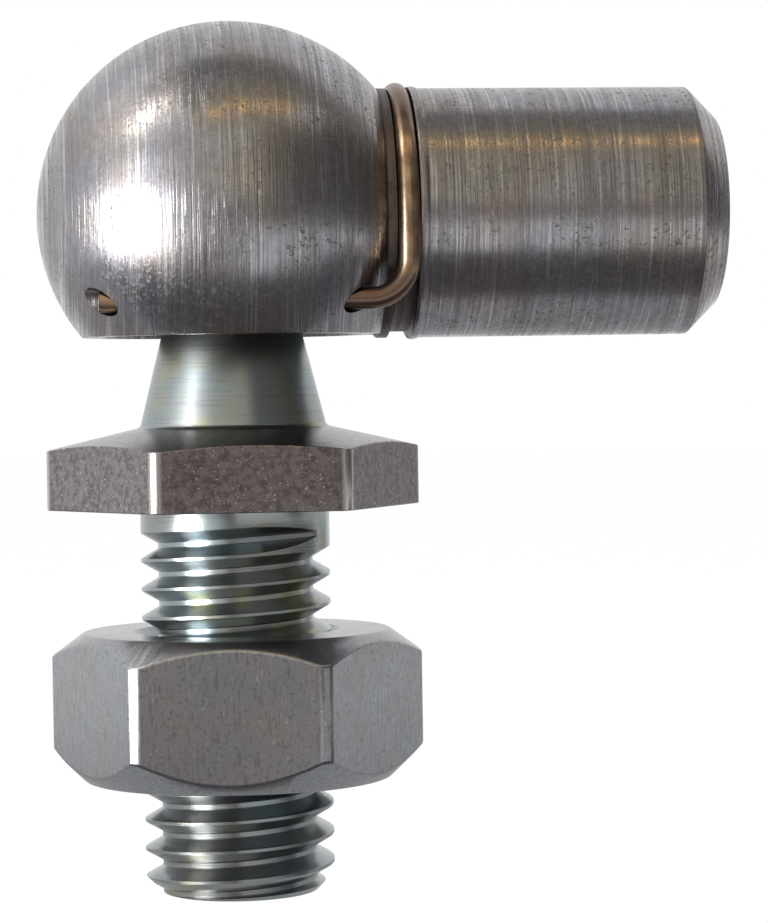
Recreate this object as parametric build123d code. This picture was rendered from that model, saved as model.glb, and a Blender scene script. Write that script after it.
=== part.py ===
from build123d import *
from math import ceil, radians, sqrt, tan
import os

# Angle ball joint with a threaded ball stud, a snap ring and a wire safety clip. Millimetres.
# The origin is the centre of the ball, where the rod's line and the stud's line cross.
# +X runs along the shank towards the rod, and +Z runs from the stud up through the ball.

# Socket: a turned ball head on a round shank, with a tapped hole for the rod in the shank's end.
head_diameter = 20.0
flat_drop = 6.3            # flat underside of the head, below the ball's centre
shank_diameter = 13.0
centre_to_end = 25.4
end_chamfer = 1.5
rod_drill_diameter = 6.8   # core of the M8 thread
rod_drill_depth = 14.0
rod_mouth_chamfer = 0.8
drill_point_angle = 118.0

# Ball, its cavity and the snap ring under it.
ball_diameter = 13.0
ball_clearance = 0.05
mouth_chamfer = 0.35
ring_wire = 1.0
ring_drop = 2.9            # the ring's plane, below the ball's centre
ring_clearance = 0.05      # to the ball, and above and below the ring in its groove
ring_spread = 0.6          # room behind the ring, so that the ball can spread it
ring_gap_angle = 32.0

# Safety clip: a bow round the neck and two legs through the head, under the ball.
clip_wire = 1.1
clip_hole_diameter = 1.45
clip_leg_drop = 4.6        # the legs, below the ball's centre
clip_tip_spacing = 11.1    # between the legs' centre lines at the tips
clip_bend = 2.0            # inside each leg's bend, on the wire's centre line
clip_seat_gap = 0.02
groove_offset = 1.05       # middle of the groove, from the end of the head's ball form
groove_width = 1.2
groove_round = 0.22        # in the corners of the groove's floor
groove_floor_above = 5.67  # from the shank's axis, over the top
groove_floor_below = 6.18  # and underneath, because the groove is turned off centre
lip_width = 0.62
lip_height = 0.1

# Ball stud: ball, cone, hexagon flange and threaded end.
cone_top_diameter = 6.95
cone_foot_diameter = 9.7
cone_foot_drop = 11.0
cone_fillet = 0.3
seat_drop = 15.2           # flange's underside, where the lever seats
flange_across_flats = 17.0
flange_corner_diameter = 19.45
flange_top_slope = 13.0
flange_turn = 2.7
thread_diameter = 9.85     # M10 as rolled
thread_pitch = 1.5
thread_flank_angle = 30.0  # each flank, from square to the axis
thread_crest = 0.19        # width of the flat on top of the thread
thread_floor = 0.27        # and at the bottom of its groove
thread_collar = 0.9        # plain stretch between the flange and the groove
thread_end_turn = -85.0    # where the groove starts to run out, round from +X
thread_runout_turns = 0.25
thread_runout_bend = 2.0   # the run-out's radius, in thread radii
thread_length = 20.0
thread_chamfer = 0.9

# Nut.
nut_across_flats = 17.0
nut_corner_diameter = 19.3
nut_height = 7.7
nut_face_diameter = 15.9
nut_chamfer_angle = 30.0
nut_countersink_diameter = 10.8
nut_thread_clearance = 0.075
nut_below_seat = 6.4
nut_turn = -6.0

head_radius = head_diameter / 2
shank_radius = shank_diameter / 2
cavity_radius = ball_diameter / 2 + ball_clearance
ball_radius = ball_diameter / 2
thread_radius = thread_diameter / 2
thread_depth = (thread_pitch - thread_crest - thread_floor) / 2 / tan(radians(thread_flank_angle))
neck_start = sqrt(head_radius**2 - shank_radius**2)
groove_x = neck_start + groove_offset
groove_floor_radius = (groove_floor_above + groove_floor_below) / 2
groove_centre_drop = (groove_floor_below - groove_floor_above) / 2
clip_radius = clip_wire / 2
bow_radius = groove_floor_radius + clip_radius + clip_seat_gap
ring_radius = ring_wire / 2
ring_line_radius = sqrt((ball_radius + ring_clearance + ring_radius) ** 2 - ring_drop**2)
ring_groove_radius = ring_line_radius + ring_radius + ring_spread
ring_groove_height = ring_wire + 2 * ring_clearance


def turned_socket_blank():
    """The outside of the socket as it leaves the lathe, turned about X."""
    lip_start = groove_x + groove_width / 2 - lip_height
    lip_end = lip_start + lip_width
    chamfer_start = centre_to_end - end_chamfer
    with BuildPart() as blank:
        with BuildSketch(Plane.XZ):
            with BuildLine():
                ThreePointArc((-head_radius, 0), (0, head_radius), (neck_start, shank_radius))
                Line((neck_start, shank_radius), (lip_start, shank_radius))
                ThreePointArc(
                    (lip_start, shank_radius),
                    ((lip_start + lip_end) / 2, shank_radius + lip_height),
                    (lip_end, shank_radius),
                )
                Polyline(
                    (lip_end, shank_radius),
                    (chamfer_start, shank_radius),
                    (centre_to_end, shank_radius - end_chamfer),
                    (centre_to_end, 0),
                    (-head_radius, 0),
                )
            make_face()
        revolve(axis=Axis.X)
    return blank.part


def clip_groove():
    """A ring that is turned away round the neck, a little below the shank's axis."""
    ring = Cylinder(shank_radius + groove_width, groove_width)
    ring -= Cylinder(groove_floor_radius, groove_width)
    floor = ring.faces().filter_by(GeomType.CYLINDER).sort_by(SortBy.AREA)[0]
    ring = fillet(floor.edges().filter_by(GeomType.CIRCLE), groove_round)
    return Pos(groove_x, 0, -groove_centre_drop) * Rot(0, 90, 0) * ring


def rod_hole():
    """The tapped hole from the shank's end, with its mouth chamfer and drill point."""
    drill_radius = rod_drill_diameter / 2
    bottom = centre_to_end - rod_drill_depth
    point = bottom - drill_radius / tan(radians(drill_point_angle / 2))
    mouth_radius = drill_radius + rod_mouth_chamfer
    with BuildPart() as hole:
        with BuildSketch(Plane.XZ):
            with BuildLine():
                Polyline(
                    (point, 0),
                    (bottom, drill_radius),
                    (centre_to_end - rod_mouth_chamfer, drill_radius),
                    (centre_to_end, mouth_radius),
                    (centre_to_end + end_chamfer, mouth_radius),
                    (centre_to_end + end_chamfer, 0),
                    (point, 0),
                )
            make_face()
        revolve(axis=Axis.X)
    return hole.part


def ball_cavity():
    """Round above the ball's centre, straight below it, with the snap ring's groove in the wall."""
    mouth_radius = cavity_radius + mouth_chamfer
    groove_top = -ring_drop + ring_groove_height / 2
    groove_bottom = -ring_drop - ring_groove_height / 2
    with BuildPart() as cavity:
        with BuildSketch(Plane.XZ):
            with BuildLine():
                CenterArc((0, 0), cavity_radius, 0, 90)
                Polyline(
                    (cavity_radius, 0),
                    (cavity_radius, groove_top),
                    (ring_groove_radius, groove_top),
                    (ring_groove_radius, groove_bottom),
                    (cavity_radius, groove_bottom),
                    (cavity_radius, -flat_drop + mouth_chamfer),
                    (mouth_radius, -flat_drop),
                    (mouth_radius, -head_radius),
                    (0, -head_radius),
                    (0, cavity_radius),
                )
            make_face()
        revolve(axis=Axis.Z)
    return cavity.part


def clip_corner(side):
    """Where the straight leg and the side of the bow would meet without their bend."""
    return Vector(groove_x, side * bow_radius, -clip_leg_drop)


def clip_tip(side):
    """The leg's tip, flush with the outside of the head."""
    half = clip_tip_spacing / 2
    return Vector(-sqrt(head_radius**2 - half**2 - clip_leg_drop**2), side * half, -clip_leg_drop)


def clip_hole(side):
    """One cross hole, drilled through both walls of the head along the clip's leg."""
    corner = clip_corner(side)
    way = (clip_tip(side) - corner).normalized()
    length = (clip_tip(side) - corner).length + clip_leg_drop
    return Plane(origin=corner, z_dir=way) * Cylinder(
        clip_hole_diameter / 2, length, align=(Align.CENTER, Align.CENTER, Align.MIN)
    )


def make_socket():
    blank = turned_socket_blank()
    flat_reach = neck_start - lip_height
    under_head = Pos(flat_reach, 0, -flat_drop) * Box(
        2 * head_diameter, head_diameter, head_diameter, align=(Align.MAX, Align.CENTER, Align.MAX)
    )
    body = blank - under_head - clip_groove() - ball_cavity() - rod_hole()
    for side in (-1, 1):
        body -= clip_hole(side)
    return body


def make_snap_ring():
    """Round spring wire, open at the back of the head, that holds the ball in from below."""
    ring = Torus(ring_line_radius, ring_radius, major_angle=360 - ring_gap_angle)
    return Pos(0, 0, -ring_drop) * Rot(0, 0, 90 + ring_gap_angle / 2) * ring


def make_safety_clip():
    """One bent wire: leg, bend, bow over the neck, bend and leg."""
    bow_side_height = -groove_centre_drop
    near = Vector(groove_x, -bow_radius, bow_side_height)
    far = Vector(groove_x, bow_radius, bow_side_height)
    with BuildPart() as clip:
        with BuildLine() as wire:
            FilletPolyline(clip_tip(-1), clip_corner(-1), near, radius=clip_bend)
            ThreePointArc(near, (groove_x, 0, bow_radius - groove_centre_drop), far)
            FilletPolyline(far, clip_corner(1), clip_tip(1), radius=clip_bend)
        way = (clip_corner(-1) - clip_tip(-1)).normalized()
        with BuildSketch(Plane(origin=clip_tip(-1), z_dir=way)):
            Circle(clip_radius)
        sweep(path=wire.wires()[0])
    return clip.part


def hexagon_bar(across_flats, bottom, top, turn):
    """A hexagon standing on Z with corners along X, turned about Z."""
    section = RegularPolygon(across_flats / 2, 6, major_radius=False, rotation=turn)
    return extrude(Pos(0, 0, bottom) * section, top - bottom)


def turned(points):
    """A solid of revolution about Z from (radius, height) points."""
    return revolve(Plane.XZ * make_face(Polyline(*points, close=True)), Axis.Z)


def flats_waste(across_flats, bottom, top, turn):
    """What the six flats take off a turned flange between two heights."""
    bar = hexagon_bar(across_flats, bottom, top, turn)
    outside = Pos(0, 0, bottom) * Cylinder(
        across_flats, top - bottom, align=(Align.CENTER, Align.CENTER, Align.MIN)
    )
    return outside - bar


def thread_groove(radius, pitch, height):
    """What a right-handed groove of the thread's section takes away, climbing about Z from +X."""
    half_mouth = (thread_pitch - thread_crest) / 2
    half_floor = thread_floor / 2
    half_outside = half_mouth + thread_crest * tan(radians(thread_flank_angle))
    section = Polyline(
        (-thread_depth, -half_floor),
        (thread_crest, -half_outside),
        (thread_crest, half_outside),
        (-thread_depth, half_floor),
        close=True,
    )
    path = Helix(pitch=pitch, height=height, radius=radius)
    start = Plane(origin=path @ 0, x_dir=(1, 0, 0), z_dir=(0, 1, 0))
    return sweep(start * make_face(section), path=path, is_frenet=True)


def make_thread():
    """The threaded end, from the flange down: a blank with its groove cut turn by turn.

    The groove runs out just under the flange on a wider bend that leaves the blank.
    """
    top = -seat_drop
    end = top - thread_length
    blank = turned(
        [
            (0, top),
            (thread_radius, top),
            (thread_radius, end + thread_chamfer),
            (thread_radius - thread_chamfer, end),
            (0, end),
        ]
    )
    groove_end = top - thread_collar - (thread_pitch - thread_crest) / 2
    one_turn = thread_groove(thread_radius, thread_pitch, thread_pitch)
    for turn in range(ceil((groove_end - end) / thread_pitch) + 1):
        blank -= Pos(0, 0, groove_end - (turn + 1) * thread_pitch) * one_turn
    runout_radius = thread_runout_bend * thread_radius
    runout_pitch = thread_runout_bend * thread_pitch
    runout = thread_groove(runout_radius, runout_pitch, thread_runout_turns * thread_pitch)
    blank -= Pos(thread_radius - runout_radius, 0, groove_end) * runout
    return Rot(0, 0, thread_end_turn) * blank


def make_ball_stud():
    """Ball, cone, flange and thread, turned in one piece, with the flange's flats cut afterwards."""
    cone_top_radius = cone_top_diameter / 2
    cone_top_height = -sqrt(ball_radius**2 - cone_top_radius**2)
    foot_radius = cone_foot_diameter / 2
    corner_radius = flange_corner_diameter / 2
    edge_height = -cone_foot_drop - (corner_radius - foot_radius) * tan(radians(flange_top_slope))
    with BuildPart() as stud:
        with BuildSketch(Plane.XZ) as half:
            with BuildLine():
                ThreePointArc((0, ball_radius), (ball_radius, 0), (cone_top_radius, cone_top_height))
                Polyline(
                    (cone_top_radius, cone_top_height),
                    (foot_radius, -cone_foot_drop),
                    (corner_radius, edge_height),
                    (corner_radius, -seat_drop),
                    (0, -seat_drop),
                    (0, ball_radius),
                )
            make_face()
            ends = half.vertices().filter_by_position(Axis.Y, -cone_foot_drop, cone_top_height)
            fillet(ends, cone_fillet)
        revolve(axis=Axis.Z)
    waste = flats_waste(flange_across_flats, -seat_drop, -cone_foot_drop, flange_turn)
    return stud.part - waste + make_thread()


def make_nut():
    corner_radius = nut_corner_diameter / 2
    face_radius = nut_face_diameter / 2
    top = -seat_drop - nut_below_seat
    bottom = top - nut_height
    chamfer_drop = (corner_radius - face_radius) * tan(radians(nut_chamfer_angle))
    outside = turned(
        [
            (0, bottom),
            (face_radius, bottom),
            (corner_radius, bottom + chamfer_drop),
            (corner_radius, top - chamfer_drop),
            (face_radius, top),
            (0, top),
        ]
    )
    bore_radius = thread_radius + nut_thread_clearance
    sink_radius = nut_countersink_diameter / 2
    sink_drop = sink_radius - bore_radius
    bore = turned(
        [
            (0, bottom),
            (sink_radius, bottom),
            (bore_radius, bottom + sink_drop),
            (bore_radius, top - sink_drop),
            (sink_radius, top),
            (0, top),
        ]
    )
    return (outside & hexagon_bar(nut_across_flats, bottom, top, nut_turn)) - bore


parts = {
    "ball_socket": make_socket(),
    "snap_ring": make_snap_ring(),
    "safety_clip": make_safety_clip(),
    "ball_stud": make_ball_stud(),
    "hex_nut": make_nut(),
}

os.makedirs("parts", exist_ok=True)
for name, shape in parts.items():
    export_step(shape, f"parts/{name}.step")
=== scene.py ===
import bpy
from math import acos, atan2, cos, sin, pi, radians, sqrt, tan
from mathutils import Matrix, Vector


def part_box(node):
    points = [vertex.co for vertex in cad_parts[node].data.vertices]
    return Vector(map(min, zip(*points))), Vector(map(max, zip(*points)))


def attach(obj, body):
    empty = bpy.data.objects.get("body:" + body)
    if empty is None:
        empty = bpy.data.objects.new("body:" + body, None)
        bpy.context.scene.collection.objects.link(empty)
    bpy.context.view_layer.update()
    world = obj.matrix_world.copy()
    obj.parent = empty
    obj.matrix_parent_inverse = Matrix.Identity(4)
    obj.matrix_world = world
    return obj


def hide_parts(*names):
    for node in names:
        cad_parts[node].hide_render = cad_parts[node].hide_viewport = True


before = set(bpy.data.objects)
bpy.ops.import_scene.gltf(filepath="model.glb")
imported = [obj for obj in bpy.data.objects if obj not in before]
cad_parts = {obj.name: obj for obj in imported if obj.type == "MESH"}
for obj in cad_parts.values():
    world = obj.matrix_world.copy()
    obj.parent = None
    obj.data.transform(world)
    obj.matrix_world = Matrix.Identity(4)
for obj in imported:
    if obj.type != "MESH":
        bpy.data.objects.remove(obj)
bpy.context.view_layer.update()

mm = 0.001
weldGap = 0.001 * mm  # points closer than this become one
cutGap = 1e-7
flankSlope = tan(radians(30))  # half of a thread's 60 degrees


def pickNothing():
    if bpy.context.object and bpy.context.object.mode != "OBJECT":
        bpy.ops.object.mode_set(mode="OBJECT")
    bpy.ops.object.select_all(action="DESELECT")


def pick(piece):
    pickNothing()
    piece.select_set(True)
    bpy.context.view_layer.objects.active = piece


def openMesh():  # the picked piece, all of it selected
    bpy.ops.object.mode_set(mode="EDIT")
    bpy.ops.mesh.select_all(action="SELECT")


def closeMesh():
    bpy.ops.object.mode_set(mode="OBJECT")


def settle():  # the picked piece's place and turn go into its points
    bpy.ops.object.transform_apply(location=True, rotation=True, scale=True)


def applyModifier(piece, kind, **settings):
    pick(piece)
    added = piece.modifiers.new(kind.title(), kind)
    for name, value in settings.items():
        setattr(added, name, value)
    bpy.ops.object.modifier_apply(modifier=added.name)


def mend(piece):  # doubles merged, faces outwards
    pick(piece)
    openMesh()
    bpy.ops.mesh.remove_doubles(threshold=weldGap)
    bpy.ops.mesh.normals_make_consistent(inside=False)
    closeMesh()


def layOnX(piece):  # what was turned up Z is laid down along +X
    pick(piece)
    piece.rotation_euler = (0, radians(90), 0)
    settle()


def inMetres(values):  # lengths only: angles and counts are read from the dictionary itself
    return {name: value * mm for name, value in values.items()}


def arc(centre, radius, start, end, steps):  # points of a section, angles in degrees
    angles = [radians(start + (end - start) * step / steps) for step in range(steps + 1)]
    return [(centre[0] + radius * cos(angle), centre[1] + radius * sin(angle)) for angle in angles]


def softCorners(corners, steps):  # corners of (radius, height, bend), each rounded by its bend
    points = []
    for index, (radius, height, bend) in enumerate(corners):
        here = Vector((radius, height))
        if not bend:
            points.append((radius, height))
            continue
        toLast = (Vector(corners[index - 1][:2]) - here).normalized()
        toNext = (Vector(corners[index + 1][:2]) - here).normalized()
        half = toLast.angle(toNext) / 2
        centre = here + (toLast + toNext).normalized() * bend / sin(half)
        first = here + toLast * bend / tan(half) - centre
        last = here + toNext * bend / tan(half) - centre
        start = atan2(first.y, first.x)
        turn = (atan2(last.y, last.x) - start + pi) % (2 * pi) - pi
        points += arc(centre, bend, start * 180 / pi, (start + turn) * 180 / pi, steps)
    return points


def turnOnLathe(name, rings, steps):  # rings of (radius, height), closed at both ends
    pickNothing()
    radius, height = rings[0]
    bpy.ops.mesh.primitive_circle_add(vertices=steps, radius=radius, fill_type="NGON")
    piece = bpy.context.object
    piece.name = piece.data.name = name
    openMesh()
    bpy.ops.transform.translate(value=(0, 0, height))
    for nextRadius, nextHeight in rings[1:]:
        bpy.ops.mesh.extrude_region_move(TRANSFORM_OT_translate={"value": (0, 0, nextHeight - height)})
        grow = nextRadius / radius
        bpy.ops.transform.resize(value=(grow, grow, 1), center_override=(0, 0, nextHeight))
        radius, height = nextRadius, nextHeight
    bpy.ops.mesh.select_all(action="SELECT")
    bpy.ops.mesh.normals_make_consistent(inside=False)
    closeMesh()
    return piece


def screwUp(name, section, bottom, climb, turns, steps, angle=360):  # a section swept up round the Z axis
    pickNothing()
    bpy.ops.mesh.primitive_plane_add(size=mm)
    piece = bpy.context.object
    piece.name = piece.data.name = name
    openMesh()
    bpy.ops.mesh.merge(type="CENTER")
    radius, height = section[0]
    bpy.ops.transform.translate(value=(radius, 0, height + bottom))
    for nextRadius, nextHeight in section[1:]:
        move = (nextRadius - radius, 0, nextHeight - height)
        bpy.ops.mesh.extrude_vertices_move(TRANSFORM_OT_translate={"value": move})
        radius, height = nextRadius, nextHeight
    closeMesh()
    applyModifier(
        piece, "SCREW", angle=radians(angle), screw_offset=climb, iterations=turns,
        steps=steps, render_steps=steps, use_merge_vertices=True, merge_threshold=weldGap,
    )
    mend(piece)
    return piece


def shave(place, outward):  # what lies outside a plane goes, and the cut is capped
    bpy.ops.mesh.select_all(action="SELECT")
    bpy.ops.mesh.bisect(
        plane_co=place, plane_no=outward, use_fill=True, clear_outer=True, threshold=cutGap,
    )


def trimSquare(piece, low, high):
    pick(piece)
    openMesh()
    shave((0, 0, low), (0, 0, -1))
    shave((0, 0, high), (0, 0, 1))
    closeMesh()
    mend(piece)


def cutFlats(piece, acrossFlats, turn):  # six planes shave off what stands outside a hexagon
    pick(piece)
    openMesh()
    for side in range(6):
        angle = radians(turn + 30 + 60 * side)
        out = (cos(angle), sin(angle), 0)
        shave((out[0] * acrossFlats / 2, out[1] * acrossFlats / 2, 0), out)
    closeMesh()
    mend(piece)


def roundEdges(piece, width, chosen):  # only the sharp edges whose middle is chosen
    sharpness = 24
    crowding = 0.4  # of the width: points closer than this would tangle the rounding
    pick(piece)
    for step in ("MERGE", "BEVEL"):
        bpy.ops.object.mode_set(mode="EDIT")
        bpy.ops.mesh.select_mode(type="EDGE")
        bpy.ops.mesh.select_all(action="DESELECT")
        bpy.ops.mesh.edges_select_sharp(sharpness=radians(sharpness))
        closeMesh()
        points = piece.data.vertices
        points.foreach_set("select", [False] * len(points))
        piece.data.polygons.foreach_set("select", [False] * len(piece.data.polygons))
        for edge in piece.data.edges:
            ends = [points[end] for end in edge.vertices]
            edge.select = edge.select and chosen((ends[0].co + ends[1].co) / 2)
            for end in ends:
                end.select = end.select or edge.select
        bpy.ops.object.mode_set(mode="EDIT")
        if step == "MERGE":
            bpy.ops.mesh.remove_doubles(threshold=crowding * width)
        else:
            bpy.ops.mesh.bevel(offset=width, segments=3, affect="EDGES", clamp_overlap=False)
    closeMesh()


def combine(piece, other, operation):
    applyModifier(piece, "BOOLEAN", operation=operation, object=other, solver="EXACT")
    bpy.data.objects.remove(other, do_unlink=True)


def smooth(piece):  # round across small steps, flat on large faces
    roundBelow = 30
    pick(piece)
    bpy.ops.object.shade_smooth_by_angle(angle=radians(roundBelow))
    applyModifier(piece, "WEIGHTED_NORMAL", keep_sharp=True, weight=60)


class Wire:  # a socket that takes part in sums
    def __init__(self, tree, socket=None):
        self.tree = tree
        self.socket = socket

    def node(self, kind, settings=None, values=None, output=0):
        made = self.tree.nodes.new(kind)
        for name, value in (settings or {}).items():
            setattr(made, name, value)
        pairs = values.items() if isinstance(values, dict) else enumerate(values or [])
        for name, value in pairs:
            if isinstance(value, Wire):
                self.tree.links.new(value.socket, made.inputs[name])
            else:
                made.inputs[name].default_value = value
        return Wire(self.tree, made.outputs[output] if made.outputs else None)

    def sum(self, operation, *values):
        return self.node("ShaderNodeMath", {"operation": operation}, values)

    def __add__(self, other):
        return self.sum("ADD", self, other)

    def __radd__(self, other):
        return self.sum("ADD", other, self)

    def __sub__(self, other):
        return self.sum("SUBTRACT", self, other)

    def __rsub__(self, other):
        return self.sum("SUBTRACT", other, self)

    def __mul__(self, other):
        return self.sum("MULTIPLY", self, other)

    def __rmul__(self, other):
        return self.sum("MULTIPLY", other, self)

    def __gt__(self, other):
        return self.sum("GREATER_THAN", self, other)

    def __lt__(self, other):
        return self.sum("LESS_THAN", self, other)

    def between(self, low, high):  # 0 at low, 1 at high, eased
        return self.node(
            "ShaderNodeMapRange", {"interpolation_type": "SMOOTHSTEP"},
            {"Value": self, "From Min": low, "From Max": high, "To Min": 0.0, "To Max": 1.0},
        )

    def stretch(self, scale):
        return self.node("ShaderNodeMapping", {"vector_type": "POINT"}, {"Vector": self, "Scale": scale})

    def noise(self, scale, detail, roughness):
        return self.node(
            "ShaderNodeTexNoise", {"noise_dimensions": "3D"},
            {"Vector": self, "Scale": scale, "Detail": detail, "Roughness": roughness},
        )

    def tint(self, factor, first, second):
        made = self.tree.nodes.new("ShaderNodeMix")
        made.data_type = "RGBA"
        self.tree.links.new(factor.socket, made.inputs[0])
        for name, value in ((6, first), (7, second)):
            if isinstance(value, Wire):
                self.tree.links.new(value.socket, made.inputs[name])
            else:
                made.inputs[name].default_value = (*value, 1)
        return Wire(self.tree, made.outputs[2])

    def bump(self, height, distance):
        return self.node(
            "ShaderNodeBump", None, {"Height": height, "Distance": distance, "Strength": 1.0},
        )


def newFinish(name):
    finish = bpy.data.materials.new(name)
    finish.use_nodes = True
    finish.node_tree.nodes.clear()
    return finish, Wire(finish.node_tree)


def axes(where, chosen=(0, 1, 2)):
    return [where.node("ShaderNodeSeparateXYZ", None, [where], axis) for axis in chosen]


def fromAxis(across, along):
    return across.sum("SQRT", across * across + along * along)


def closeFinish(finish, wire, colour, roughness, normal):
    skin = wire.node(
        "ShaderNodeBsdfPrincipled", None,
        {"Base Color": colour, "Metallic": 1.0, "Roughness": roughness, "Normal": normal},
    )
    wire.node("ShaderNodeOutputMaterial", None, {"Surface": skin})
    return finish


view = {
    "place": (-9.17, -159.29, -9.05), "lens": 119.22, "sensor": 36, "down": 1.405, "right": 6.126,
    "roll": 0.886, "near": 0.005, "far": 20,
}

bpy.ops.object.camera_add(
    location=[distance * mm for distance in view["place"]],
    rotation=(radians(90 - view["down"]), radians(view["roll"]), radians(-view["right"])),
)
camera = bpy.context.object
camera.data.sensor_width = view["sensor"]
camera.data.lens = view["lens"]
camera.data.clip_start = view["near"]
camera.data.clip_end = view["far"]
bpy.context.scene.camera = camera
print("camera set")


socketLook = {
    "lilac": (0.325, 0.318, 0.345), "warm": (0.33, 0.30, 0.285), "green": (0.25, 0.27, 0.235),
    "amber": (0.40, 0.29, 0.15), "groove": (0.14, 0.125, 0.125), "pit": (0.07, 0.066, 0.07),
    "smoke": (0.20, 0.19, 0.20), "paintedShine": (0.66, 0.64, 0.64), "neckShade": (0.085, 0.064, 0.055),
    "neckShadeFrom": 7.2, "neckShadeTo": 9.3, "neckShadeRadius": 6.56,
}


def turnedSteel(name, look):  # turning marks run round X, and painted shade darkens the neck's groove
    finish, wire = newFinish(name)
    where = wire.node("ShaderNodeTexCoord", output="Object")
    place, across, up = axes(where)
    fine = where.stretch((9.0, 0.12, 0.12)).noise(scale=1000, detail=3.0, roughness=0.6)
    broad = where.stretch((2.6, 0.07, 0.07)).noise(scale=1000, detail=3.0, roughness=0.55)
    patch = where.noise(scale=420, detail=3.0, roughness=0.6)
    speck = where.noise(scale=4600, detail=3.0, roughness=0.7)
    hue = where.noise(scale=190, detail=2.0, roughness=0.5)
    mottle = where.noise(scale=2300, detail=3.0, roughness=0.7)
    marks = fine.between(0.36, 0.5) * 0.6 + broad.between(0.38, 0.56) * 0.4
    pits = speck.between(0.54, 0.64) * patch.between(0.34, 0.56)
    inNeck = (place > look["neckShadeFrom"] * mm) * (place < look["neckShadeTo"] * mm)
    inNeck = inNeck * (fromAxis(across, up) < look["neckShadeRadius"] * mm)
    base = wire.tint(hue.between(0.42, 0.62), look["lilac"], look["warm"])
    base = wire.tint(patch.between(0.52, 0.72) * 0.6, base, look["green"])
    base = wire.tint(patch.between(0.66, 0.8) * hue.between(0.5, 0.6) * 0.6, base, look["amber"])
    base = wire.tint((1 - mottle.between(0.36, 0.6)) * 0.45, base, look["smoke"])
    base = wire.tint((1 - marks) * 0.62, base, look["groove"])
    # painted sheen: bright lines along the turning marks
    base = wire.tint(fine.between(0.57, 0.65) * 0.45, base, look["paintedShine"])
    base = wire.tint(pits * 0.6, base, look["pit"])
    # painted shade: the neck between the ball and the clip is darkened
    base = wire.tint(inNeck * 0.85, base, look["neckShade"])
    roughness = 0.17 + patch * 0.12 + (1 - marks) * 0.12 + pits * 0.25 + inNeck * 0.2
    height = marks + fine * 0.6 - pits * 0.3
    return closeFinish(finish, wire, base, roughness, wire.bump(height, distance=0.008 * mm))


studLook = {
    "blue": (0.275, 0.32, 0.335), "grey": (0.29, 0.30, 0.30), "straw": (0.36, 0.35, 0.22),
    "groove": (0.13, 0.14, 0.15), "brown": (0.235, 0.218, 0.217), "dark": (0.135, 0.122, 0.12),
    "sparkle": (0.80, 0.75, 0.70), "wornSheen": (0.48, 0.465, 0.46),
    "flangeFrom": -15.25, "flangeTo": -11.05, "wornSheenFrom": 9.58, "wornSheenSoft": 0.1,
}


def platedSteel(name, look):  # turned round Z, with a grainy flange whose corners are lighter, partly wear and partly a painted highlight
    finish, wire = newFinish(name)
    where = wire.node("ShaderNodeTexCoord", output="Object")
    across, along, place = axes(where)
    fine = where.stretch((0.25, 0.25, 8.0)).noise(scale=1000, detail=4.0, roughness=0.6)
    grain = where.noise(scale=8200, detail=2.0, roughness=0.6)
    mottle = where.noise(scale=2600, detail=3.0, roughness=0.7)
    patch = where.noise(scale=420, detail=3.0, roughness=0.6)
    hue = where.noise(scale=230, detail=2.0, roughness=0.5)
    onFlange = (place > look["flangeFrom"] * mm) * (place < look["flangeTo"] * mm)
    wornSheenFrom = look["wornSheenFrom"] * mm
    atCorner = fromAxis(across, along).between(wornSheenFrom, wornSheenFrom + look["wornSheenSoft"] * mm)
    turned = wire.tint(hue.between(0.4, 0.6), look["blue"], look["grey"])
    turned = wire.tint(patch.between(0.5, 0.7) * 0.7, turned, look["straw"])
    turned = wire.tint((1 - fine.between(0.3, 0.5)) * 0.35, turned, look["groove"])
    flange = wire.tint(mottle.between(0.35, 0.6), look["dark"], look["brown"])
    flange = wire.tint(grain.between(0.64, 0.7) * 0.6, flange, look["sparkle"])
    # corners lighter: partly wear, partly a painted highlight
    flange = wire.tint(atCorner, flange, look["wornSheen"])
    base = wire.tint(onFlange, turned, flange)
    height = fine * (1 - onFlange) * 0.5 + (grain * 0.3 + mottle * 0.4) * onFlange
    roughness = 0.2 + patch * 0.08 + (place > look["flangeTo"] * mm) * 0.06
    return closeFinish(finish, wire, base, roughness, wire.bump(height, distance=0.006 * mm))


nutLook = {
    "blue": (0.31, 0.328, 0.355), "brown": (0.32, 0.315, 0.32), "scratch": (0.15, 0.14, 0.135),
    "bright": (0.58, 0.55, 0.53),
}


def drawnSteel(name, look):  # scratches run up the flats
    finish, wire = newFinish(name)
    where = wire.node("ShaderNodeTexCoord", output="Object")
    scratch = where.stretch((7.0, 7.0, 1.0)).noise(scale=1000, detail=4.0, roughness=0.65)
    grain = where.noise(scale=5200, detail=3.0, roughness=0.65)
    patch = where.noise(scale=330, detail=3.0, roughness=0.6)
    base = wire.tint(patch.between(0.35, 0.65), look["blue"], look["brown"])
    base = wire.tint((1 - scratch.between(0.32, 0.46)) * 0.5, base, look["scratch"])
    base = wire.tint((1 - grain.between(0.34, 0.44)) * 0.5, base, look["scratch"])
    base = wire.tint(scratch.between(0.58, 0.68) * grain.between(0.5, 0.6) * 0.7, base, look["bright"])
    height = scratch * 0.5 + grain * 0.4
    roughness = 0.22 + patch * 0.08
    return closeFinish(finish, wire, base, roughness, wire.bump(height, distance=0.006 * mm))


clipLook = {
    "bronze": (0.42, 0.30, 0.19), "brown": (0.26, 0.17, 0.115), "darker": (0.13, 0.084, 0.072),
    "darkerBelow": -2.6, "darkerAbove": 3.2, "softBelow": 1.2, "softAbove": 1.8,
}
ringLook = {"bronze": (0.3, 0.3, 0.31), "brown": (0.18, 0.18, 0.18)}


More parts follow.
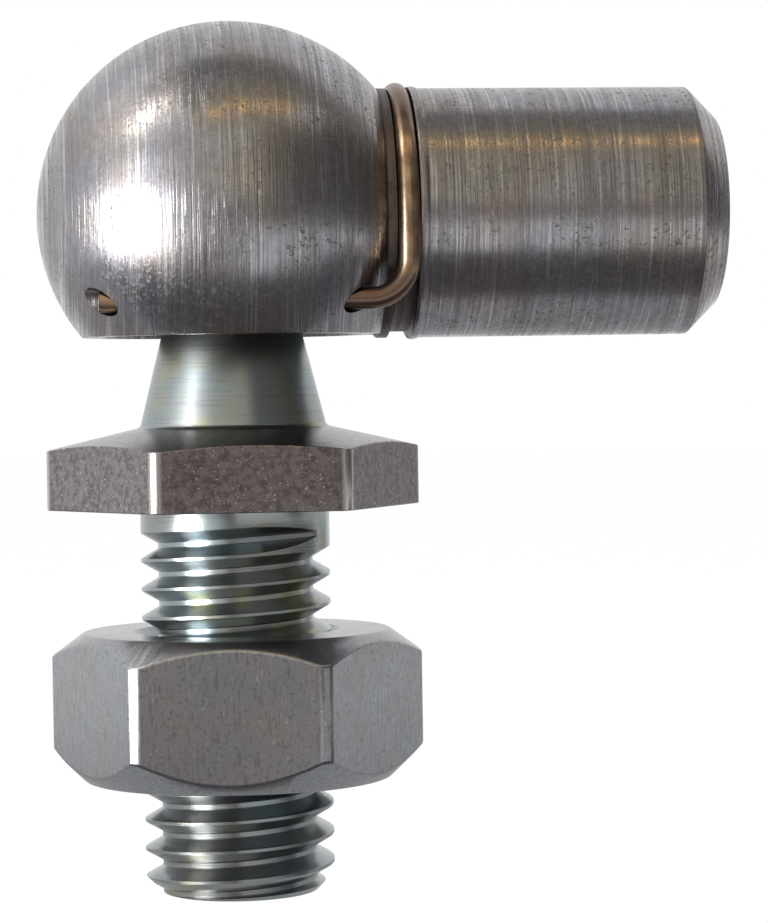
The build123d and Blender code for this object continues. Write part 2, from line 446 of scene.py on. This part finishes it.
def springWire(name, look):  # darker over the top and low down on the neck side, but not towards its tips
    finish, wire = newFinish(name)
    where = wire.node("ShaderNodeTexCoord", output="Object")
    patch = where.noise(scale=700, detail=3.0, roughness=0.6)
    fine = where.noise(scale=4200, detail=3.0, roughness=0.6)
    base = wire.tint(patch.between(0.35, 0.65), look["bronze"], look["brown"])
    if "darker" in look:
        along, up = axes(where, (0, 2))
        below, above = look["darkerBelow"] * mm, look["darkerAbove"] * mm
        # darker below one height and above another, on the neck side only
        darker = 1 - up.between(below - look["softBelow"] * mm, below)
        darker = darker + up.between(above, above + look["softAbove"] * mm)
        base = wire.tint(darker * (along > 0) * 0.85, base, look["darker"])
    roughness = 0.24 + fine * 0.1
    return closeFinish(finish, wire, base, roughness, wire.bump(fine, distance=0.0015 * mm))


socketSteel = turnedSteel("socketSteel", socketLook)
studSteel = platedSteel("studSteel", studLook)
nutSteel = drawnSteel("nutSteel", nutLook)
clipSteel = springWire("clipSteel", clipLook)
ringSteel = springWire("ringSteel", ringLook)


def wear(piece, finish):
    piece.data.materials.clear()
    piece.data.materials.append(finish)


wear(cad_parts["safety_clip"], clipSteel)
wear(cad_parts["snap_ring"], ringSteel)
print("finishes made")


def putIn(piece, body, node, finish):
    wear(piece, finish)
    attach(piece, body)
    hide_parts(node)
    print(piece.name, "made,", len(piece.data.polygons), "faces")


socketLow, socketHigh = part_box("ball_socket")
studLow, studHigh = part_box("ball_stud")
nutLow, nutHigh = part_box("hex_nut")

socket = {
    "head": -socketLow[0] / mm, "end": socketHigh[0] / mm, "shank": 6.5, "endChamfer": 1.5, "flatDrop": 6.3,
    "cavity": 6.55, "mouthChamfer": 0.35, "ringGroove": 7.526, "ringDrop": 2.9, "ringGrooveHeight": 1.1,
    "neck": 7.5, "neckStep": 0.5, "lip": 0.1, "lipStart": 9.149, "lipWidth": 0.62, "edge": 0.12,
    "groove": 8.649, "grooveWidth": 1.2, "grooveFloor": 5.925, "grooveRound": 0.22, "grooveSink": 0.255,
    "holeRadius": 0.725, "holeDrop": 4.6, "holeSpread": 6.495, "holeTip": 5.55,
    "rodDrill": 3.4, "rodMajor": 4.06, "rodPitch": 1.25, "rodThread": 13.2, "rodDepth": 14.0,
    "rodMouth": 0.8, "rodCrest": 0.16, "rodSink": 0.1, "rodOver": 0.3, "drillPoint": 0.03,
    "roundSteps": 192, "cavitySteps": 24, "headSteps": 72, "edgeSteps": 4, "lipSteps": 8,
    "grooveSteps": 160, "holeSteps": 40, "threadSteps": 96, "threadTurns": 13,
}


def threadSection(crest, root, pitch, crestFlat):  # one pitch, middle of the root to middle of the root
    flank = (crest - root) * flankSlope
    topHalf, soft = crestFlat / 2, 0.05 * mm
    rise = soft * flankSlope
    half = [
        (root, -pitch / 2), (root, -topHalf - flank - soft), (root + soft, -topHalf - flank + rise),
        (crest - soft, -topHalf - rise), (crest, -topHalf + soft),
    ]
    return half + [(radius, -height) for radius, height in reversed(half)]


def makeHead(size):  # bowl with the cavity inside, turned about Z
    cavityPole, headPole, rimGap = 89.5, 89.7, 1  # degrees; sections stop just short of the axis
    head, edge, flat, cavity = size["head"], size["edge"], -size["flatDrop"], size["cavity"]
    ringTop = -size["ringDrop"] + size["ringGrooveHeight"] / 2
    ringBottom = ringTop - size["ringGrooveHeight"]
    rings = arc((0, 0), cavity, cavityPole, 0, socket["cavitySteps"])
    rings += [(cavity, ringTop), (size["ringGroove"], ringTop)]
    rings += [(size["ringGroove"], ringBottom), (cavity, ringBottom)]
    rings += [(cavity, flat + size["mouthChamfer"]), (cavity + size["mouthChamfer"], flat)]
    rimRadius = sqrt((head - edge) ** 2 - (flat + edge) ** 2)
    rimAngle = atan2(flat + edge, rimRadius) * 180 / pi
    rings += arc((rimRadius, flat + edge), edge, -90, rimAngle, socket["edgeSteps"])
    rings += arc((0, 0), head, rimAngle + rimGap, headPole, socket["headSteps"])
    return turnOnLathe("ballSocket", rings, socket["roundSteps"])


def makeShank(size):  # from the neck to the end and back down the rod's hole, then laid along X
    shank, end, edge, drill = size["shank"], size["end"], size["edge"], size["rodDrill"]
    drillCone = 0.6  # the cone's height as a share of the drill's radius
    corners = [(shank - size["neckStep"], size["neck"], 0), (shank, size["neck"], edge)]
    for step in range(socket["lipSteps"] + 1):
        across = 2 * step / socket["lipSteps"] - 1
        height = size["lipStart"] + size["lipWidth"] * step / socket["lipSteps"]
        corners.append((shank + size["lip"] * (1 - across ** 2), height, 0))
    corners += [(shank, end - size["endChamfer"], edge), (shank - size["endChamfer"], end, edge)]
    corners += [(drill + size["rodMouth"], end, edge / 2), (drill, end - size["rodMouth"], 0)]
    bottom = end - size["rodDepth"]
    corners += [(drill, bottom, 0), (size["drillPoint"], bottom - drillCone * drill, 0)]
    body = turnOnLathe("shank", softCorners(corners, socket["edgeSteps"]), socket["roundSteps"])
    pitch = size["rodPitch"]
    low = end - size["rodThread"]
    section = threadSection(size["rodMajor"], drill - size["rodSink"], pitch, size["rodCrest"])
    tap = screwUp("rodTap", section, low - pitch, pitch, socket["threadTurns"], socket["threadSteps"])
    trimSquare(tap, low, end + size["rodOver"])
    combine(body, tap, "DIFFERENCE")
    layOnX(body)
    return body


def makeNeckRing(size):  # what the clip's groove takes away, off centre
    half, floor, bend = size["grooveWidth"] / 2, size["grooveFloor"], size["grooveRound"]
    outside = size["shank"] + size["grooveWidth"]
    section = [(outside, -half)]
    section += arc((floor + bend, -half + bend), bend, -90, -180, socket["edgeSteps"])
    section += arc((floor + bend, half - bend), bend, 180, 90, socket["edgeSteps"])
    section += [(outside, half), (outside, -half)]
    ring = screwUp("neckRing", section, 0, 0, 1, socket["grooveSteps"])
    layOnX(ring)
    pick(ring)
    bpy.ops.transform.translate(value=(size["groove"], 0, -size["grooveSink"]))
    settle()
    return ring


def makeHoleDrill(size, side):  # from the clip's bend to its tip and on
    drillReach = 1.25
    corner = Vector((size["groove"], side * size["holeSpread"], -size["holeDrop"]))
    reach = sqrt(size["head"] ** 2 - size["holeTip"] ** 2 - size["holeDrop"] ** 2)
    tip = Vector((-reach, side * size["holeTip"], -size["holeDrop"]))
    way = tip - corner
    pickNothing()
    bpy.ops.mesh.primitive_cylinder_add(
        vertices=socket["holeSteps"], radius=size["holeRadius"], depth=way.length * drillReach,
        location=corner + way * (drillReach / 2), rotation=way.to_track_quat("Z", "Y").to_euler(),
    )
    return bpy.context.object


def makeSocket():
    size = inMetres(socket)
    body = makeHead(size)
    combine(body, makeShank(size), "UNION")
    combine(body, makeNeckRing(size), "DIFFERENCE")
    for side in (-1, 1):
        combine(body, makeHoleDrill(size, side), "DIFFERENCE")
    mend(body)
    smooth(body)
    return body


putIn(makeSocket(), "socket", "ball_socket", socketSteel)


stud = {
    "ball": studHigh[2] / mm, "end": -studLow[2] / mm, "coneTop": 3.475, "coneFoot": 4.85, "footDrop": 11.0,
    "fillet": 0.3, "corner": 9.725, "seat": 15.2, "acrossFlats": 17.0, "edge": 0.07,
    "crest": 4.925, "pitch": 1.5, "crestFlat": 0.19, "floorFlat": 0.27, "soft": 0.04, "collar": 0.9,
    "endChamfer": 0.9, "endStep": 0.1,
    "slope": 13.0, "turn": 2.7, "runoutTurn": -85.0, "runoutBend": 45.0,  # degrees
    "roundSteps": 160, "bendSteps": 6, "ballSteps": 44,
    "threadSteps": 120, "threadTurns": 14, "runoutSteps": 24,
}


def makeGroove(size):  # what the thread takes away, leaving the blank on a bend twice as wide
    crest, pitch, soft = size["crest"], size["pitch"], size["soft"]
    mouth, floor = (pitch - size["crestFlat"]) / 2, size["floorFlat"] / 2
    depth = (mouth - floor) / flankSlope
    half = [(-depth, floor - soft / 2), (soft - depth, floor + soft * flankSlope)]
    half += [(-soft, mouth - soft * flankSlope), (0, mouth + soft / 2), (2 * soft, mouth + soft)]
    loop = [(out, -up) for out, up in reversed(half)] + half
    loop.append(loop[0])
    top, turns = -size["seat"] - size["collar"] - mouth, stud["threadTurns"]
    section = [(crest + out, up) for out, up in loop]
    groove = screwUp("studGroove", section, top - turns * pitch, pitch, turns, stud["threadSteps"])
    section = [(2 * crest + out, up) for out, up in loop]
    bend = stud["runoutBend"]  # twice the radius, so it climbs a pitch in half a round
    runout = screwUp("studRunout", section, top, pitch * bend / 180, 1, stud["runoutSteps"], bend)
    pick(runout)
    bpy.ops.transform.translate(value=(-crest, 0, 0))
    groove.select_set(True)
    bpy.context.view_layer.objects.active = groove
    settle()
    bpy.ops.object.join()
    mend(groove)
    pick(groove)
    openMesh()
    bpy.ops.mesh.fill_holes(sides=0)
    bpy.ops.mesh.normals_make_consistent(inside=False)
    closeMesh()
    groove.rotation_euler = (0, 0, radians(stud["runoutTurn"]))
    settle()
    return groove


def makeStud():
    ballPole, neckGap = 89.5, 4  # degrees; the gap leaves room for the fillet at the neck
    size = inMetres(stud)
    ball, top, foot, drop = size["ball"], size["coneTop"], size["coneFoot"], size["footDrop"]
    corner, seat, crest, end = size["corner"], size["seat"], size["crest"], size["end"]
    tip, edge, fillet = size["endChamfer"], size["edge"], size["fillet"]
    edgeDrop = drop + (corner - foot) * tan(radians(stud["slope"]))
    neckAngle = -acos(top / ball) * 180 / pi
    corners = [(crest - tip - size["endStep"], -end, 0)]
    corners += [(crest - tip, -end, edge), (crest, tip - end, edge)]
    corners += [(crest, -seat, 0), (corner, -seat, 0), (corner, -edgeDrop, 0), (foot, -drop, fillet)]
    corners += [(top, -sqrt(ball ** 2 - top ** 2), fillet)]
    sphere = arc((0, 0), ball, neckAngle + neckGap, ballPole, stud["ballSteps"])
    corners += [(radius, height, 0) for radius, height in sphere]
    body = turnOnLathe("ballStud", softCorners(corners, stud["bendSteps"]), stud["roundSteps"])
    cutFlats(body, size["acrossFlats"], stud["turn"])
    combine(body, makeGroove(size), "DIFFERENCE")
    mend(body)
    roundEdges(body, edge, lambda at: -seat - edge < at.z < -drop and at.xy.length > foot)
    smooth(body)
    return body


putIn(makeStud(), "stud", "ball_stud", studSteel)


nut = {
    "top": nutHigh[2] / mm, "bottom": nutLow[2] / mm, "acrossFlats": 17.0, "corner": 9.65, "face": 7.95,
    "sink": 5.4, "major": 5.06, "minor": 4.32, "play": 0.15, "edge": 0.12,
    "tapOver": 0.3, "sinkOver": 0.1, "sinkPoint": 0.05,
    "chamferTop": 36.0, "chamferBottom": 44.0, "turn": -6.0,  # degrees
    "roundSteps": 160, "sinkSteps": 120, "threadSteps": 120, "threadTurns": 12, "turnsBelow": 10,
}


def makeNut():
    size = inMetres(nut)
    top, bottom, corner, face = size["top"], size["bottom"], size["corner"], size["face"]
    low = (corner - face) * tan(radians(nut["chamferBottom"]))
    high = (corner - face) * tan(radians(nut["chamferTop"]))
    rings = [(face, bottom), (corner, bottom + low), (corner, top - high), (face, top)]
    body = turnOnLathe("hexNut", rings, nut["roundSteps"])
    cutFlats(body, size["acrossFlats"], nut["turn"])
    pitch = stud["pitch"] * mm
    section = threadSection(size["major"], size["minor"], pitch, (stud["crestFlat"] + nut["play"]) * mm)
    # the tap's crest follows the stud's, so that the two threads mesh
    threadStart = stud["seat"] + stud["collar"]
    turned = 1.5 + stud["runoutTurn"] / 360
    crestDrop = threadStart + stud["pitch"] * turned - stud["crestFlat"] / 2
    tapBottom = -crestDrop * mm - nut["turnsBelow"] * pitch
    tap = screwUp("nutTap", section, tapBottom, pitch, nut["threadTurns"], nut["threadSteps"])
    trimSquare(tap, bottom - size["tapOver"], top + size["tapOver"])
    sink, point, over = size["sink"], size["minor"] - size["sinkPoint"], size["sinkOver"]
    cone = sink - point
    rings = [(sink + over, bottom - over), (point, bottom + cone)]
    rings += [(point, top - cone), (sink + over, top + over)]
    combine(body, turnOnLathe("countersink", rings, nut["sinkSteps"]), "DIFFERENCE")
    combine(body, tap, "DIFFERENCE")
    mend(body)
    roundEdges(body, size["edge"], lambda at: at.xy.length > sink + over)
    smooth(body)
    return body


putIn(makeNut(), "nut", "hex_nut", nutSteel)


studio = {
    "floorDrop": 46.0, "floorSize": 3.0, "floorTone": (0.86, 0.86, 0.86), "floorGlow": 0.93,
    "floorWhite": 1.022, "skyLight": 0.75,
}
floorHeight = -studio["floorDrop"] * mm

cards = {  # flags that only the metal sees, metres and degrees
    "cardCamera": {
        "tone": (0.40, 0.345, 0.32), "size": (0.17, 0.075),
        "place": (-0.005, -0.26, -0.012), "turn": (90, 0, 0),
    },
    "cardFront": {
        "tone": (0.80, 0.77, 0.65), "size": (0.40, 0.34),
        "place": (-0.03, -0.30, 0.20), "turn": (90, 0, 0),
    },
    "cardWarm": {
        "tone": (0.33, 0.345, 0.28), "size": (0.5, 0.29), "place": (0.05, -0.22, 0.45),
        "spots": (0.48, 0.41, 0.27),
    },
    "cardFrontRight": {
        "tone": (0.20, 0.188, 0.18), "size": (0.27, 0.40),
        "place": (0.20, -0.22, 0.10), "turn": (90, 0, 42),
    },
    "cardRight": {
        "tone": (0.14, 0.132, 0.13), "size": (0.27, 0.40),
        "place": (0.31, -0.02, 0.10), "turn": (90, 0, 85),
    },
    "cardBackRight": {
        "tone": (0.5, 0.48, 0.49), "size": (0.12, 0.07),
        "place": (0.20, 0.175, -0.018), "turn": (90, 0, -49),
    },
    "cardFrontLow": {
        "tone": (0.145, 0.14, 0.145), "size": (0.34, 0.056), "place": (0.01, -0.034, floorHeight + 0.0005),
    },
    "cardNut": {
        "tone": (0.24, 0.19, 0.175), "size": (0.042, 0.175), "place": (-0.027, -0.15, floorHeight + 0.0006),
    },
    "cardUnder": {
        "tone": (0.55, 0.55, 0.56), "size": (0.30, 0.11), "place": (0.01, 0.049, floorHeight + 0.0004),
    },
    "cardOverhead": {
        "tone": (0.285, 0.275, 0.28), "size": (0.5, 0.07), "place": (0.01, 0.005, 0.17),
    },
}

lamps = {  # metres and watts
    "windowLeft": {
        "place": (-0.107, -0.058, -0.010), "aim": (0, 0, -0.006), "size": (0.062, 0.056), "power": 0.24,
    },
    "windowTop": {
        "place": (-0.107, -0.058, 0.046), "aim": (0, 0, -0.008), "size": (0.024, 0.03), "power": 0.010,
    },
    "skyLeft": {
        "place": (-0.21, -0.01, 0.25), "aim": (0, 0, 0), "size": (0.12, 0.12), "power": 0.60,
        "tone": (1, 0.98, 0.93),
    },
    "warmStrip": {
        "place": (0.05, -0.20, 0.38), "aim": (0, 0, 0), "size": (0.35, 0.008), "power": 0.085,
        "tone": (1, 0.58, 0.20),
    },
}


def plainStage(name, size, place, turn, finish, hidden):
    pickNothing()
    bpy.ops.mesh.primitive_plane_add(size=1, location=place, rotation=turn)
    sheet = bpy.context.object
    sheet.name = name
    sheet.scale = (size[0], size[1], 1)
    settle()
    wear(sheet, finish)
    if hidden:
        sheet.visible_camera = sheet.visible_shadow = sheet.visible_diffuse = False


def seenRays(wire):  # 1 for what the camera, metal or glass looks at, 0 for plain lighting
    path = wire.node("ShaderNodeLightPath", output="Is Camera Ray")
    glossy = Wire(wire.tree, path.socket.node.outputs["Is Glossy Ray"])
    through = Wire(wire.tree, path.socket.node.outputs["Is Transmission Ray"])
    return wire.sum("MINIMUM", path + glossy + through, 1.0)


def floorFinish():  # a pale floor that keeps the shadow, and isn't there from below
    finish, wire = newFinish("paleFloor")
    lit = wire.node("ShaderNodeBsdfDiffuse", None, {"Color": (*studio["floorTone"], 1)})
    white = wire.node("ShaderNodeEmission", None, {"Color": (1, 1, 1, 1), "Strength": studio["floorWhite"]})
    both = wire.node("ShaderNodeMixShader", None, [seenRays(wire) * studio["floorGlow"], lit, white])
    below = wire.node("ShaderNodeNewGeometry", output="Backfacing")
    clear = wire.node("ShaderNodeBsdfTransparent")
    whole = wire.node("ShaderNodeMixShader", None, [below, both, clear])
    wire.node("ShaderNodeOutputMaterial", None, {"Surface": whole})
    return finish


def card(name, tone, size, place, turn=(0, 0, 0), spots=None):
    finish, wire = newFinish(name + "Paper")
    glow = wire.node("ShaderNodeEmission", None, {"Color": (*tone, 1), "Strength": 1.0})
    if spots:
        where = wire.node("ShaderNodeTexCoord", output="Object")
        blots = where.noise(scale=22, detail=2.0, roughness=0.5).between(0.46, 0.62)
        shade = wire.tint(blots, tone, spots)
        wire.tree.links.new(shade.socket, glow.socket.node.inputs["Color"])
    wire.node("ShaderNodeOutputMaterial", None, {"Surface": glow})
    plainStage(name, size, place, [radians(angle) for angle in turn], finish, True)


def softLamp(name, place, aim, size, power, tone=(1, 1, 1)):
    pickNothing()
    bpy.ops.object.light_add(type="AREA", location=place)
    lamp = bpy.context.object
    lamp.name = name
    lamp.data.shape = "RECTANGLE"
    lamp.data.size, lamp.data.size_y = size
    lamp.data.energy = power
    lamp.data.color = tone
    lamp.visible_camera = False
    lamp.rotation_euler = (Vector(aim) - lamp.location).to_track_quat("-Z", "Y").to_euler()


def paleWorld():  # white to look at, a little dimmer as light
    world = bpy.data.worlds.new("paleStudio")
    world.use_nodes = True
    world.node_tree.nodes.clear()
    wire = Wire(world.node_tree)
    strength = seenRays(wire) * (1 - studio["skyLight"]) + studio["skyLight"]
    back = wire.node("ShaderNodeBackground", None, {"Color": (1, 1, 1, 1), "Strength": strength})
    wire.node("ShaderNodeOutputWorld", None, {"Surface": back})
    bpy.context.scene.world = world


floorSize = (studio["floorSize"], studio["floorSize"])
plainStage("floor", floorSize, (0, 0, floorHeight), (0, 0, 0), floorFinish(), False)
for name, values in cards.items():
    card(name, **values)
for name, values in lamps.items():
    softLamp(name, **values)
paleWorld()
bpy.context.scene.view_settings.view_transform = "Standard"
print("studio set")
